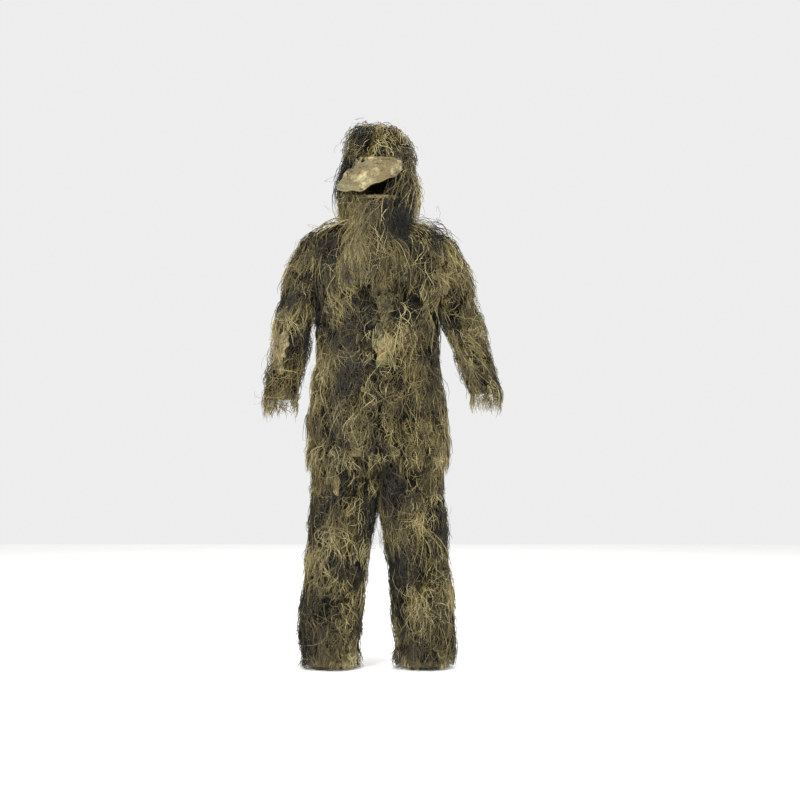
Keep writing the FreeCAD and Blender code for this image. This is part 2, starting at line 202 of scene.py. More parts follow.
def yarn_fibre():
    """Spun jute-like polyester yarn, piece dyed: matt and fuzzy, with a paler rim from loose fibres."""
    material, surface, link = paint("dyed_yarn", 0.92, Sheen_Weight=0.08, Sheen_Roughness=0.6,
                                    Specular_IOR_Level=0.15)
    # Per-vertex colour of the yarn, with painted shade darker at the strands' roots.
    dye_and_shade = node(material, "ShaderNodeAttribute", "Color", {"attribute_name": "dye_and_shade"})
    place = node(material, "ShaderNodeTexCoord", "Object")
    # Fibre bundles 2 to 3 mm long
    twist = node(material, "ShaderNodeTexNoise", "Fac", Vector=place, Scale=420.0, Roughness=0.55)
    shade = node(material, "ShaderNodeValToRGB", stops=[(0.3, "#b4b0a8"), (0.72, "#ffffff")], Fac=twist)
    link(node(material, "ShaderNodeMix", 2, TINT, _0=1.0, _6=dye_and_shade, _7=shade), surface.inputs["Base Color"])
    return material


def camo_print(name, light, dull, brown="#74623f", moss="#5c5a3b"):
    """Cotton and polyester twill printed with soft-edged arid camouflage, washed and matt. The print is built
    from the ground up: brown shapes 50 to 100 mm across, mossy ones half as large, dark flecks of 10 mm."""
    material, surface, link = paint(name, 0.88, Sheen_Weight=0.15, Specular_IOR_Level=0.25)
    place = node(material, "ShaderNodeTexCoord", "Object")
    low = node(material, "ShaderNodeMapping", "Vector", Vector=place, Scale=(1.0, 1.0, 1.35))
    faded = node(material, "ShaderNodeTexNoise", "Fac", Vector=place, Scale=34.0, Detail=4.0, Roughness=0.55)
    ground = node(material, "ShaderNodeValToRGB", stops=[(0.35, dull), (0.65, light)], Fac=faded)
    for scale, rough, outer, inner, colour in (
            (11.0, 0.62, 0.47, 0.53, brown),
            (19.0, 0.62, 0.50, 0.55, moss),
            (60.0, 0.70, 0.55, 0.64, "#423a26")):
        shape = node(material, "ShaderNodeTexNoise", "Fac", Vector=low, Scale=scale, Detail=6.0,
                     Roughness=rough)
        inside = node(material, "ShaderNodeValToRGB", stops=[(outer, "#000000"), (inner, "#ffffff")],
                      Fac=shape)
        ground = node(material, "ShaderNodeMix", 2, COVER, _0=inside, _6=ground, _7=linear(colour))
    # Twill ribs are 0.6 mm apart on such cloth and drawn here about 2 mm apart so that they show
    ribs = node(material, "ShaderNodeTexWave", "Fac", {"wave_type": "BANDS", "bands_direction": "DIAGONAL"},
                Vector=place, Scale=200.0, Distortion=1.5, Detail=1.0)
    slub = node(material, "ShaderNodeTexNoise", "Fac", Vector=place, Scale=900.0, Roughness=0.55)
    relief = node(material, "ShaderNodeMath", settings={"operation": "ADD"}, _0=ribs, _1=slub)
    link(ground, surface.inputs["Base Color"])
    link(node(material, "ShaderNodeBump", Strength=0.35, Distance=0.6 * MM, Height=relief),
         surface.inputs["Normal"])
    return material


def matted_yarn():
    """Felted under-layer where the yarn is sewn down: fibrous, with painted shade between the threads and a
    painted highlight on them.
    """
    material, surface, link = paint("matted_yarn", 0.95, Specular_IOR_Level=0.1)
    # Per-vertex colour of the yarn, darkened as painted shade under the strands.
    dye_and_shade = node(material, "ShaderNodeAttribute", "Color", {"attribute_name": "dye_and_shade"})
    place = node(material, "ShaderNodeTexCoord", "Object")
    long_way = node(material, "ShaderNodeMapping", "Vector", Vector=place, Scale=(1.0, 1.0, 0.16))
    threads = node(material, "ShaderNodeTexNoise", "Fac", Vector=long_way, Scale=330.0, Detail=4.0,
                   Roughness=0.65)
    # Painted shade in the gaps between the threads, their own tone, and a painted highlight on the raised
    # threads.
    gap, thread, lit = (0.40, "#1c1a14"), (0.56, "#8d887a"), (0.70, "#d8d2c2")
    shade = node(material, "ShaderNodeValToRGB", stops=[gap, thread, lit], Fac=threads)
    link(node(material, "ShaderNodeMix", 2, TINT, _0=1.0, _6=dye_and_shade, _7=shade), surface.inputs["Base Color"])
    link(node(material, "ShaderNodeBump", Strength=0.9, Distance=3 * MM, Height=threads),
         surface.inputs["Normal"])
    return material


def woven_elastic():
    """Knitted elastic, matt olive: the wave's ribs lie 2 mm apart and each groove is darkened with painted
    shade.
    """
    material, surface, link = paint("knitted_elastic", 0.8, Sheen_Weight=0.2)
    place = node(material, "ShaderNodeTexCoord", "Object")
    ribs = node(material, "ShaderNodeTexWave", "Fac", {"wave_type": "BANDS", "bands_direction": "Z"},
                Vector=place, Scale=160.0, Distortion=0.6)
    # Darker colour in the wave's grooves is painted shade.
    link(node(material, "ShaderNodeValToRGB", stops=[(0.2, "#3a3a29"), (0.8, "#565642")], Fac=ribs),
         surface.inputs["Base Color"])
    link(node(material, "ShaderNodeBump", Strength=0.5, Distance=0.8 * MM, Height=ribs),
         surface.inputs["Normal"])
    return material


def knotted_net():
    """Knotted polyester net, dull: two crossed waves draw its cords 5 mm apart over painted shade, the dark
    of the hollow behind it.
    """
    material, surface, link = paint("knotted_polyester_net", 0.85, Sheen_Weight=0.1)
    place = node(material, "ShaderNodeTexCoord", "Object")
    across, upright = [
        node(material, "ShaderNodeTexWave", "Fac", {"wave_type": "BANDS", "bands_direction": way},
             Vector=place, Scale=62.0, Distortion=0.8) for way in "XZ"]
    cord = node(material, "ShaderNodeMath", settings={"operation": "MAXIMUM"}, _0=across, _1=upright)
    # Between the cords the net is painted near black: painted shade of the hollow behind it.
    link(node(material, "ShaderNodeValToRGB", stops=[(0.75, "#14150f"), (0.92, "#4a4a33")], Fac=cord),
         surface.inputs["Base Color"])
    link(node(material, "ShaderNodeBump", Strength=0.8, Distance=1 * MM, Height=cord),
         surface.inputs["Normal"])
    return material


def moulded(name, colour, pale, roughness, **constants):
    """Moulded or pressed hard piece: a faintly cloudy colour, and a grain that blurs its highlights."""
    material, surface, link = paint(name, roughness, **constants)
    place = node(material, "ShaderNodeTexCoord", "Object")
    cloud = node(material, "ShaderNodeTexNoise", "Fac", Vector=place, Scale=260.0, Detail=4.0, Roughness=0.55)
    link(node(material, "ShaderNodeValToRGB", stops=[(0.35, colour), (0.65, pale)], Fac=cloud),
         surface.inputs["Base Color"])
    link(node(material, "ShaderNodeBump", Strength=0.15, Distance=0.3 * MM, Height=cloud),
         surface.inputs["Normal"])
    return material


# ---------------------------------------------------------------- meshes

def quad_mesh(name, points, quads, material):
    """Mesh of quads (n, 4), from whole arrays; a triangle is a quad that repeats its last corner."""
    points = np.asarray(points, np.float32)
    quads = np.asarray(quads, np.int32)
    mesh = bpy.data.meshes.new(name)
    mesh.vertices.add(len(points))
    mesh.vertices.foreach_set("co", points.ravel())
    corners = np.where(quads[:, 3] == quads[:, 2], 3, 4)
    keep = np.ones(quads.shape, bool)
    keep[corners == 3, 3] = False
    mesh.loops.add(int(corners.sum()))
    mesh.loops.foreach_set("vertex_index", quads[keep])
    mesh.polygons.add(len(quads))
    mesh.polygons.foreach_set("loop_start", np.r_[0, np.cumsum(corners)[:-1]].astype(np.int32))
    mesh.polygons.foreach_set("use_smooth", np.ones(len(quads), bool))
    mesh.update(calc_edges=True)
    made = bpy.data.objects.new(name, mesh)
    mesh.materials.append(material)
    bpy.context.collection.objects.link(made)
    return made


def dye_and_shade_points(made, colours):
    """Store one linear colour per vertex, the yarn's colour with its painted shade, in the attribute that the
    yarn materials read.
    """
    dye_and_shade = made.data.attributes.new("dye_and_shade", "FLOAT_COLOR", "POINT")
    dye_and_shade.data.foreach_set("color", np.c_[colours, np.ones(len(colours))].astype(np.float32).ravel())


def waves(points, length, seed, count=18):
    """Smooth random field near -1..1: a sum of sines in random directions with the given wavelength."""
    rng = np.random.default_rng(seed)
    way = rng.normal(size=(count, 3))
    way /= np.linalg.norm(way, axis=1, keepdims=True)
    way *= TAU / (length * rng.uniform(0.7, 1.5, (count, 1)))
    phase = rng.uniform(0, TAU, count)
    return np.sin(points @ way.T + phase).sum(-1) * math.sqrt(2 / count)


# ---------------------------------------------------------------- garment tubes

GRAIN = 2 * MM         # spacing of a tube's worked-out rings


class Tube:
    """A tube through elliptical stations, addressed by s, metres along its length from its open end, and by
    u, the angle round it. Stations are joined by straight lines and then rounded by a moving average."""

    def __init__(self, stations, side=1, rounding=0.022):
        table = np.array(sorted(stations), float) * MM
        level, out, back, wide, deep = table.T
        step = np.hypot(np.diff(level), np.diff((wide + deep) / 2))
        s = np.r_[0, np.cumsum(step)]
        self.length = s[-1]
        fine = np.arange(0, self.length + GRAIN / 2, GRAIN)
        rows = np.array([np.interp(fine, s, column) for column in (level, out, back, wide, deep)])
        half = int(rounding / GRAIN)
        kernel = np.ones(2 * half + 1) / (2 * half + 1)
        first, last = rows[:, :1], rows[:, -1:]
        # Mirrored through its ends, so that the average leaves them where they are
        run_in = 2 * first - rows[:, half:0:-1]
        run_out = 2 * last - rows[:, -2:-half - 2:-1]
        padded = np.c_[run_in, rows, run_out]
        self.rows = np.array([np.convolve(row, kernel, "valid") for row in padded])
        self.fine = fine
        self.side = side

    def at_level(self, level):
        """s of a level."""
        return float(np.interp(level, self.rows[0], self.fine))

    def ring(self, s):
        """Level, centre and radii at s; before the open end the tube hangs on straight down."""
        level, out, back, wide, deep = [np.interp(s, self.fine, row) for row in self.rows]
        return level + np.minimum(s, 0), out, back, wide, deep

    def radius(self, s):
        _, _, _, wide, deep = self.ring(s)
        return (wide + deep) / 2

    def place(self, s, u, lift=0.0):
        """Point at s and u, lifted along the outward normal: the cross product of the tube's two tangents."""
        def base(s):
            level, out, back, wide, deep = self.ring(s)
            return np.stack([out + wide * np.cos(u), back + deep * np.sin(u), level], -1)
        point = base(s)
        along = base(s + 2 * GRAIN) - base(s - 2 * GRAIN)
        _, _, _, wide, deep = self.ring(s)
        across = np.stack([-wide * np.sin(u), deep * np.cos(u), np.zeros_like(u)], -1)
        normal = np.cross(across, along)
        normal /= np.linalg.norm(normal, axis=-1, keepdims=True) + 1e-12
        point = point + normal * np.asarray(lift)[..., None]
        point[..., 0] *= self.side
        normal[..., 0] *= self.side
        return point, normal


def spots(points, table):
    """Strength 0..1 of each point in the front patches: 1 inside an ellipse, fading over its soft edge."""
    table = np.array(table)
    x = (points[..., None, 0] - table[:, 0]) / table[:, 2]
    z = (points[..., None, 2] - table[:, 1]) / table[:, 3]
    ragged = 0.35 * waves(points, 0.05, 77)[..., None]
    inside = np.clip(1.6 - np.hypot(x, z) + ragged, 0, 1)
    return inside * (points[..., None, 1] < FRONT_ENDS)


def yarn_shade(points, rng, stray=0.18):
    """Dye number of tufts: upright bands of smooth noise, darker on the legs. The front has its own patches
    over them, two of them painted shade down the gap between the fronts; the back has random dark ones, and a
    few tufts stray."""
    stretched = points * (1, 1, 0.30)
    on_legs = np.clip((0.75 - points[..., 2]) / 0.2, 0, 1)
    tone = 3.9 - 0.65 * on_legs + 0.85 * waves(stretched, 0.13, 5) + 0.95 * waves(stretched, 0.045, 6)
    tone = np.clip(tone, BARK, STRAW)
    dark = spots(points, [p[:4] for p in PATCHES])
    which = dark.argmax(-1)
    strength = dark.max(-1)
    dye_and_shade = np.array([p[4] for p in PATCHES])[which]
    behind = points[..., 1] > FRONT_ENDS
    patch = np.clip(3 * (waves(stretched, 0.21, 9) - 0.75), 0, 1)
    strength = np.where(behind, patch, strength)
    dye_and_shade = np.where(behind, np.where(waves(stretched, 0.3, 10) > 0, NIGHT, SLATE), dye_and_shade)
    tone = tone + (dye_and_shade - tone) * np.clip(strength * 1.3, 0, 1)
    tone = tone + rng.normal(0, 0.8, len(tone))
    loose = rng.random(len(tone)) < stray
    return np.where(loose, tone + rng.choice([-2.6, -1.5, 1.3, 2.2], len(tone)), tone)


def dye_colour(tone):
    """Linear colour between the numbered dyes."""
    table = np.array([linear(h)[:3] for h in DYES])
    tone = np.clip(tone, 0, len(DYES) - 1)
    return np.stack([np.interp(tone, np.arange(len(DYES)), table[:, i]) for i in range(3)], -1)


def bald(points):
    """How far the yarn is missing, 0 to 1."""
    return spots(points, BALD).max(-1)


# ---------------------------------------------------------------- yarn strands

KNOTS = 6              # points along a strand
TUFT = 6               # strands that share a root
STRAND = 0.85 * MM     # radius of a strand
YARN_BOX = (-0.408, -0.184, -1.0), (0.440, 0.184, 1.850)      # no strand leaves this box


def strands(name, tube, s_range, u_range, per_m2, length, pile, seed, sway=0.27, curl=0.85, fuzz=0.05,
            least=0.0, keep=None):
    """Loose strands on part of a tube, as one mesh of closed three-sided tapering prisms.

    Strands come in tufts that share a root, a lean and a dye. A strand runs down the tube in (s, u) with a
    heading that wanders as a sine of its length, while its height over the cloth rises and falls as half a
    sine; the tube's own surface turns that path into a curve that wraps round the body. fuzz is the share of
    thin strands that fly off, and least the level that the strands' ends stay over.
    """
    rng = np.random.default_rng(seed)
    s0, s1 = s_range
    u0, u1 = u_range
    girth = tube.radius(np.linspace(s0, s1, 20))
    tufts = max(4, int((s1 - s0) * (u1 - u0) * float(girth.mean()) * per_m2 / TUFT))
    s = rng.uniform(s0, s1, tufts)
    u = rng.uniform(u0, u1, tufts)
    # A narrow stretch of the tube has less cloth for the same share of u, so it keeps fewer tufts
    stay = rng.random(tufts) < tube.radius(s) / float(girth.max())
    s, u = s[stay], u[stay]
    root, _ = tube.place(s, u)
    stay = rng.random(len(s)) > bald(root)
    if keep is not None:
        stay &= keep(root)
    s, u, root = s[stay], u[stay], root[stay]
    tone = yarn_shade(root, rng)
    lean = sway * (0.8 * waves(root, 0.09, seed + 1) + rng.normal(0, 0.55, len(s)))
    long = rng.uniform(*length, len(s)) * (1 + 0.25 * waves(root, 0.12, seed + 2))

    s, u, root = np.repeat(s, TUFT), np.repeat(u, TUFT), root.repeat(TUFT, 0)
    n = len(s)
    tone = np.repeat(tone, TUFT) + rng.normal(0, 0.7, n)
    lean = np.repeat(lean, TUFT) + rng.normal(0, 0.30, n)
    long = np.repeat(long, TUFT) * rng.uniform(0.55, 1.15, n)
    long = np.minimum(long, s - s0 + rng.uniform(0.012, 0.055, n))
    if least > 0:
        long = np.minimum(long, rng.uniform(0.62, 1.02, n) * (root[:, 2] - least) + 3 * MM)
    s = s + rng.normal(0, 0.006, n)
    u = u + rng.normal(0, 0.006, n) / tube.radius(s)
    fly = rng.random(n) < fuzz
    flies = fly[:, None]
    tone = np.where(fly, tone + 1.2, tone)

    t = np.linspace(0, 1, KNOTS)[None]
    amount = curl * rng.normal(0, 0.9, (n, 1))
    bends, phase = rng.uniform(0.35, 1.2, (n, 1)), rng.uniform(0, TAU, (n, 1))
    turn = amount * np.sin(TAU * t * bends + phase) + np.where(flies, rng.normal(0, 1.6, (n, 1)) * t * 2, 0)
    heading = lean[:, None] * (1 - 0.5 * t) + turn
    step = long[:, None] / (KNOTS - 1)
    run_s = s[:, None] - np.cumsum(np.cos(heading) * step, 1) + step
    run_u = u[:, None] + np.cumsum(np.sin(heading) * step, 1) / np.maximum(tube.radius(run_s), 0.02)
    low = rng.uniform(0.15, 0.75, (n, 1)) * pile
    rise = rng.uniform(0.2, 0.6, (n, 1)) * pile
    rise = rise + np.where(flies, rng.uniform(0.2, 0.9, (n, 1)) * pile, 0)
    ripple = rng.normal(0, 0.1, (n, 1)) * pile * np.sin(TAU * t * rng.uniform(0.6, 1.6, (n, 1)))
    lift = low + rise * np.sin(math.pi * t * rng.uniform(0.55, 1.0, (n, 1))) + ripple
    lift = lift * (1 + 0.34 * waves(root, 0.085, seed + 3))[:, None]
    path, outward = tube.place(run_s, run_u, np.maximum(lift, 0.5 * MM))
    path = np.clip(path, *YARN_BOX)
    path[..., 2] = np.maximum(path[..., 2], least + 2 * MM + 2 * MM * rng.random((n, 1)))

    forward = np.gradient(path, axis=1)
    forward /= np.linalg.norm(forward, axis=-1, keepdims=True) + 1e-9
    across = np.cross(forward, outward)
    across /= np.linalg.norm(across, axis=-1, keepdims=True) + 1e-9
    up = np.cross(across, forward)
    thick = STRAND * np.where(fly, 0.55, rng.uniform(0.75, 1.3, n))[:, None]
    thick = thick * np.interp(t, [0, 0.1, 0.75, 1], [0.6, 1, 0.95, 0.35])
    corner = (np.arange(3) * TAU / 3)[None, None, :, None]
    spokes = np.cos(corner) * across[:, :, None] + np.sin(corner) * up[:, :, None]
    rings = path[:, :, None] + thick[..., None, None] * spokes

    here = np.arange(KNOTS - 1)[:, None] * 3 + np.arange(3)[None]
    there = np.arange(KNOTS - 1)[:, None] * 3 + (np.arange(3)[None] + 1) % 3
    sides = np.stack([here, there, there + 3, here + 3], -1).reshape(-1, 4)
    last = 3 * (KNOTS - 1)
    caps = np.array([[2, 1, 0, 0], [last, last + 1, last + 2, last + 2]])
    quads = (np.r_[sides, caps][None] + (np.arange(n) * KNOTS * 3)[:, None, None]).reshape(-1, 4)
    made = quad_mesh(name, rings.reshape(-1, 3), quads, YARN)
    # Painted shade: each strand is darker at its root, down in the pile, and lighter towards its tip.
    root_shade_tip_light = np.linspace(-0.25, 0.35, KNOTS)[None]
    dye_and_shade_points(made, dye_colour((tone[:, None] + root_shade_tip_light).repeat(3, 1).reshape(-1)))
    return made


# ---------------------------------------------------------------- cloth and yarn mat

def layer(name, tube, s_range, u_range, lift, material, closed=False, wall=1.6 * MM, step=0.006, ragged=0.0):
    """Closed sheet on part of a tube, and its points. lift(points, s, u) gives the outer face's height over
    the tube; the inner face lies a wall below it, and the edges are joined. closed wraps the sheet right
    round. A ragged sheet's lower edge is raised here and there, by up to that length, along smooth noise."""
    s0, s1 = s_range
    u0, u1 = u_range
    rows = max(3, int((s1 - s0) / step) + 1)
    girth = float(tube.radius(np.linspace(s0, s1, 20)).max())
    cols = max(3, int((u1 - u0) * girth / step) + 1)
    round_it = np.linspace(u0, u1, cols, endpoint=not closed)
    s, u = np.meshgrid(np.linspace(s0, s1, rows), round_it, indexing="ij")
    hem, _ = tube.place(s[0], u[0])
    raised = ragged * np.clip(0.5 + 0.5 * waves(hem, 0.05, 7) + 0.2 * waves(hem, 0.015, 8), 0, 1)
    s = s + raised * (s1 - s) / (s1 - s0)
    flat, _ = tube.place(s, u)
    height = lift(flat.reshape(-1, 3), s.ravel(), u.ravel()).reshape(s.shape)
    outer, _ = tube.place(s, u, height)
    inner, _ = tube.place(s, u, height - wall)
    points = np.r_[outer.reshape(-1, 3), inner.reshape(-1, 3)]

    count = rows * cols
    here = np.arange(count).reshape(rows, cols)
    there = np.roll(here, -1, 1)
    if not closed:
        here, there = here[:, :-1], there[:, :-1]
    face = np.stack([here[:-1], there[:-1], there[1:], here[1:]], -1).reshape(-1, 4)
    low = np.stack([here[0], here[0] + count, there[0] + count, there[0]], -1)
    high = np.stack([there[-1], there[-1] + count, here[-1] + count, here[-1]], -1)
    quads = [face, face[:, ::-1] + count, low, high]
    if not closed:
        first, last = here[:, 0], there[:, -1]
        quads.append(np.stack([first[1:], first[1:] + count, first[:-1] + count, first[:-1]], -1))
        quads.append(np.stack([last[:-1], last[:-1] + count, last[1:] + count, last[1:]], -1))
    quads = np.concatenate(quads)
    if tube.side < 0:
        quads = quads[:, ::-1]
    return quad_mesh(name, points, quads, material), points


def mat(name, tube, s_range, u_range, lift, seed, darker, closed=False, wall=4 * MM, step=0.0065, ragged=0.0):
    """Matted yarn under the loose strands, dyed as they are but darker: painted shade under the strands."""
    made, points = layer(name, tube, s_range, u_range, lift, MAT, closed, wall, step, ragged)
    dye_and_shade_points(made, dye_colour(yarn_shade(points, np.random.default_rng(seed), 0.0) - darker))
    return made


def lumpy(height, seed):
    """Lift of a mat: lumps of smooth noise about the height, sunk into the cloth where the yarn is thin."""
    def lift(points, s, u):
        lumps = height * (1 + 0.45 * waves(points, 0.05, seed) + 0.2 * waves(points, 0.017, seed + 1))
        return lumps * (1 - bald(points)) - 4 * MM * bald(points)
    return lift


def rolling(height, seed, *swells):
    """Lift of a layer: the height, plus swells of smooth noise, each given by its size and its length."""
    def lift(points, s, u):
        rise = sum(size * waves(points, length, seed + i) for i, (size, length) in enumerate(swells))
        return height + rise + 0 * s      # an array even without swells
    return lift


def folds(points, seed, depth, length=0.075):
    """Soft cloth folds: ridges of smooth noise stretched along the garment."""
    ridge = 1 - np.abs(waves(points * (1, 1, 0.45), length, seed))
    return depth * 0.5 * ridge + 1.3 * MM * waves(points, 0.02, seed + 4)


def folded(height, seed, depth, length=0.075):
    """Lift of a layer that lies in soft folds over the height."""
    return lambda points, s, u: height + folds(points, seed, depth, length)


def gathered(height):
    """Lift of elastic gathered into small ripples, 3 mm apart on the cuffs and 10 mm at the waist."""
    ripples = 95           # round a whole band
    return lambda points, s, u: height + 1.1 * MM * np.sin(u * ripples)


def tube_grid(tube, s_range, u_range):
    """Points over part of a tube, with no folds."""
    s, u = np.meshgrid(np.linspace(*s_range, 60), np.linspace(*u_range, 90), indexing="ij")
    return tube.place(s, u)[0]


# ---------------------------------------------------------------- what every garment uses

def rides(body):
    """The move of a piece that goes with one body."""
    return lambda piece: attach(piece, body)


def blends():
    """The move of a piece that keeps its place: its transform is baked into its mesh."""
    return lambda piece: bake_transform(piece)


def finish_piece(piece, slot, moves, *nodes):
    """Tie the piece to its bodies with moves(piece), and replace CAD nodes by it. slot is not used."""
    moves(piece)
    if nodes:
        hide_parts(*nodes)


def dressed(name, tube, s_range, u_range, seed, moves, cloth_nodes, yarn_nodes, cloth_range=None,
            cloth_depth=4 * MM, mat_height=7 * MM, per_m2=17500, pile=0.016, length=(0.06, 0.13), split=1,
            closed=False, fray=0.0, ragged=0.0, sway=0.27, curl=0.85, least=0.0, keep=None):
    """Cloth, yarn mat and loose strands of one garment piece. fray lets the strands start below the cloth."""
    cloth_range = cloth_range or s_range
    cloth, _ = layer(f"{name}_cloth", tube, cloth_range, u_range, folded(-1 * MM, seed, cloth_depth), CAMO,
                     closed, step=0.007)
    finish_piece(cloth, "camo_cloth", moves, *cloth_nodes)
    tube_grid(tube, cloth_range, u_range)
    # The mat is darker than its strands: painted shade under them.
    under = mat(f"{name}_mat", tube, s_range, u_range, lumpy(mat_height, seed + 1), seed + 1, 1.3, closed,
                ragged=ragged)
    finish_piece(under, "yarn", moves, *yarn_nodes)
    yarn_range = (s_range[0] - fray, s_range[1])
    edges = np.linspace(*u_range, split + 1)
    for part in range(split):
        tail = "" if split == 1 else f"_{part + 1}"
        loose = strands(f"{name}_strands{tail}", tube, yarn_range, edges[part:part + 2], per_m2, length, pile,
                        seed + 10 + part, sway, curl, least=least, keep=keep)
        finish_piece(loose, "yarn", moves)


torso = Tube(TORSO)
hood = Tube(HOOD)
veil = Tube(VEIL)
collar = Tube(COLLAR, rounding=0.006)
seat = Tube(SEAT, rounding=0.006)
sleeves = {side: Tube([CUFFS[side]] + SLEEVE_TOP, side) for side in SIDES}
legs = {side: Tube(LEG, side) for side in SIDES}
YARN = yarn_fibre()
MAT = matted_yarn()
CAMO = camo_print("printed_cotton_twill", "#968b66", "#7d734e")
VISOR_CLOTH = camo_print("visor_twill", "#a89c76", "#5d5438", "#675b3d", "#6d6649")
PLACKET = camo_print("placket_twill", "#877c58", "#6f6545")
ELASTIC = woven_elastic()
NET = knotted_net()
BOARD = moulded("polyethylene_board", "#35352c", "#3f3f35", 0.6)
BUTTON = moulded("urea_button", "#4a4633", "#565140", 0.45)
STUD = moulded("blackened_brass_stud", "#3a3834", "#4a4741", 0.4, Metallic=1.0)


# ---------------------------------------------------------------- jacket

def outside_arm(points):
    """Keeps the torso's yarn out of the armholes."""
    return ~((np.abs(points[:, 0]) > 0.195) & (points[:, 2] > 1.20))


def make_jacket():
    """Back and two fronts. Each front runs down into its hem flap."""
    hem, neck = 0.0, torso.at_level(1.452)
    cloth = (0.01, torso.length - 0.006)
    dressed("jacket_back", torso, (hem, neck), (0.0, math.pi), 100, rides("jacket"), ["jacket_back"],
            ["jacket_back_yarn"], cloth, split=2, ragged=0.03, keep=outside_arm)
    for side, word in SIDES.items():
        hip = blends()
        opening = 0.003
        across = (FRONT + opening, 0.0) if side > 0 else (-math.pi, FRONT - opening)
        dressed(f"jacket_front_{word}", torso, (hem, neck), across, 200 + 50 * side, hip,
                [f"jacket_front_{word}", f"hem_flap_{word}"],
                [f"jacket_front_yarn_{word}", f"hem_flap_yarn_{word}"],
                cloth, ragged=0.03, keep=outside_arm)
    band, _ = layer("jacket_collar_band", collar, (0, collar.length - 0.002), (0, TAU),
                    folded(0, 31, 1.5 * MM, 0.05), CAMO, closed=True, wall=3 * MM, step=0.005)
    finish_piece(band, "camo_cloth", rides("jacket"), "jacket_collar")
    tube_grid(collar, (0, collar.length), (0, TAU))


def make_sleeves():
    """Each sleeve has a shoulder part and an elbow part."""
    for side, word in SIDES.items():
        tube = sleeves[side]
        middle, cap, overlap = tube.at_level(1.245), tube.length - 0.004, 0.004
        upper, lower = f"upper_sleeve_{word}", f"lower_sleeve_{word}"
        shoulder = blends()
        elbow = blends()
        dressed(f"shoulder_{word}", tube, (middle, cap), (0, TAU), 320 + side, shoulder, [upper],
                [f"upper_sleeve_yarn_{word}"], cloth_depth=5 * MM, per_m2=18000, closed=True)
        dressed(f"elbow_{word}", tube, (0.0, middle + overlap), (0, TAU), 320 + side, elbow, [lower],
                [f"lower_sleeve_yarn_{word}"], cloth_depth=9 * MM, per_m2=19000, closed=True,
                fray=0.02, ragged=0.03)


def make_placket():
    """Fly strip with two rows of stitching along each edge, and the buttons under it."""
    low, high = torso.at_level(0.990), torso.at_level(1.444)
    across = (FRONT - 0.088, FRONT + 0.262)

    def stitched(points, s, u):
        """Height less a groove for each row of stitching, 5 and 11 mm in from the nearer edge."""
        right_edge, left_edge = -0.012, 0.048
        edge = np.minimum(points[:, 0] - right_edge, left_edge - points[:, 0])
        grooves = sum(np.exp(-((edge - inset) / 0.0012) ** 2) for inset in (0.005, 0.011))
        return 7 * MM + 1.6 * MM * waves(points * (1, 1, 0.5), 0.05, 91) - 0.9 * MM * grooves
    strip, _ = layer("placket_cloth", torso, (low, high), across, stitched, PLACKET, wall=2 * MM, step=0.003)
    finish_piece(strip, "camo_cloth", rides("jacket"), "placket_strip")
    tube_grid(torso, (low, high), across)

    # Button: a profile of radius and height turned about its axis, dished in the middle with a raised rim
    profile = np.array([(0, 0.2), (2.5, 0.2), (5.0, 0.4), (6.2, 1.3), (7.2, 1.6), (8.0, 0.9), (7.6, -0.6),
                        (5, -1), (0, -1)])
    out, up = profile[:, :1], profile[:, 1:]
    turn = np.linspace(0, TAU, 28, endpoint=False)
    disc = np.stack([out * np.cos(turn), -up + 0 * turn, out * np.sin(turn)], -1) * MM
    here = np.arange(len(profile) * len(turn)).reshape(len(profile), -1)
    there = np.roll(here, -1, 1)
    ring = np.stack([here[:-1], here[1:], there[1:], there[:-1]], -1).reshape(-1, 4)
    points, quads = [], []
    for row in range(5):
        level = 1.030 + 0.09 * row
        _, _, back, _, deep = torso.ring(torso.at_level(level))
        points.append(disc.reshape(-1, 3) + (0.014, back - deep - 2.6 * MM, level))
        quads.append(ring + row * here.size)
    buttons = quad_mesh("fly_buttons", np.concatenate(points), np.concatenate(quads), BUTTON)
    finish_piece(buttons, "button_plastic", rides("jacket"), "placket_buttons")


def make_capes():
    """Longer yarn sewn along the shoulders, lying over the jacket's own."""
    span = (torso.at_level(1.40), torso.length - 0.012)
    for name, across, seed in (("back", (0.12, math.pi - 0.12), 31), ("left", (FRONT + 0.62, 0.12), 32),
                               ("right", (-math.pi - 0.12, FRONT - 0.62), 33)):
        swells = rolling(15 * MM, 71, (4 * MM, 0.045), (2 * MM, 0.017))
        # The mat is darker than its strands: painted shade under them.
        under = mat(f"cape_{name}_mat", torso, span, across, swells, seed, 1.8, wall=6 * MM, step=0.006)
        finish_piece(under, "yarn", rides("jacket"), f"cape_yarn_{name}")
        loose = strands(f"cape_{name}_strands", torso, span, across, 15000, (0.09, 0.17), 0.034, seed,
                        sway=0.5)
        finish_piece(loose, "yarn", rides("jacket"))


# ---------------------------------------------------------------- trousers

def make_trousers():
    """Seat on the jacket; each leg has a thigh part and a shin part."""
    for side, word in SIDES.items():
        tube = legs[side]
        top, thigh_top, middle = tube.length - 0.004, tube.at_level(0.76), tube.at_level(0.60)
        thigh, shin = f"thigh_{word}", f"shin_{word}"
        hip = blends()
        knee = blends()
        dressed(thigh, tube, (middle, thigh_top), (0, TAU), 600 + 40 * side, hip, [thigh],
                [f"thigh_yarn_{word}"], (middle, top), closed=True, least=0.001)
        dressed(shin, tube, (0.0, middle + 0.004), (0, TAU), 700 + 40 * side, knee, [shin],
                [f"shin_yarn_{word}"], (-0.016, middle + 0.006), closed=True, split=2,
                fray=0.02, ragged=0.05, least=0.001)
    made, _ = layer("trouser_seat_cloth", seat, (0, seat.length - 0.002), (0, TAU),
                    folded(-1 * MM, 41, 2 * MM), CAMO, closed=True, step=0.01)
    finish_piece(made, "camo_cloth", rides("jacket"), "trouser_seat")
    tube_grid(seat, (0, seat.length), (0, TAU))


